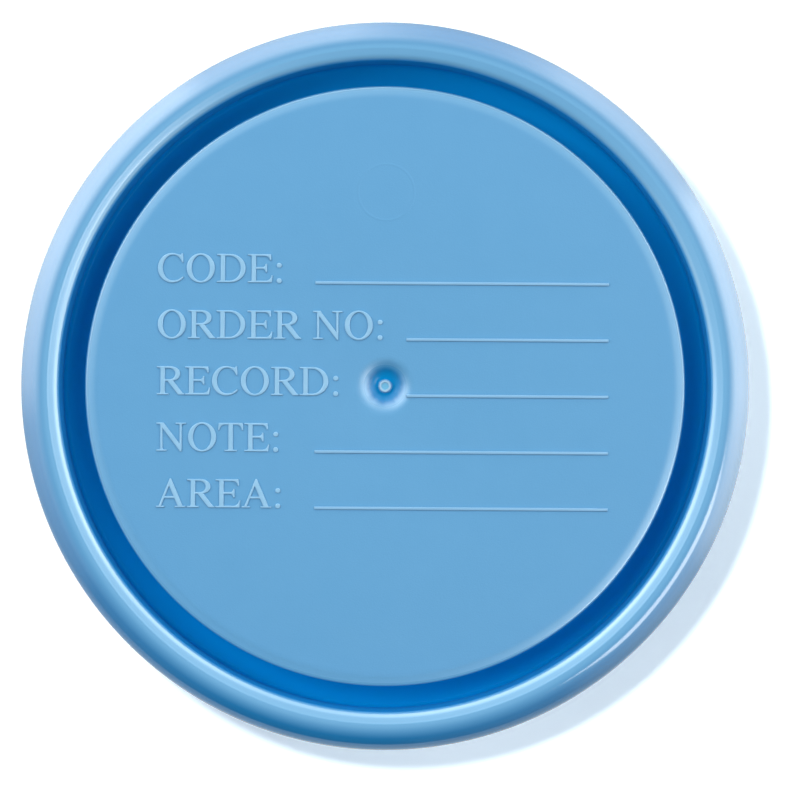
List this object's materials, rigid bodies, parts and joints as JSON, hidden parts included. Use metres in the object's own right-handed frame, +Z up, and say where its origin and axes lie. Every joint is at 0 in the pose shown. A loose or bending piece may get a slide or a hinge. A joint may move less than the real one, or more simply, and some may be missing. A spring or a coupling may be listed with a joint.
{
  "type": "urine specimen container",
  "caption": "Round tapered specimen cup with a push-on lid; the lid has a recessed moat and a raised writing panel with form captions and write-on lines.",
  "frame": {"origin": "centre of the foot ring, on the surface that the cup stands on", "axes": "+Z up along the axis of the cup and the lid, +X along the captions on the lid as they are read, +Y from the last row of captions to the first"},
  "size_m": [0.0836, 0.0836, 0.0762],
  "materials": {
    "cup_polypropylene": "translucent natural polypropylene, satin outside, smooth inside",
    "lid_polypropylene": "light blue polypropylene, glossy rim and moat, fine matte texture on the writing panel"
  },
  "bodies": {
    "cup": {"cup": "cup_polypropylene"},
    "lid": {"lid": "lid_polypropylene"}
  },
  "joints": [
    {"name": "lid_lift", "type": "slide", "parent": "cup", "child": "lid", "axis": [0, 0, 1], "range_m": [0, 0.08]}
  ]
}
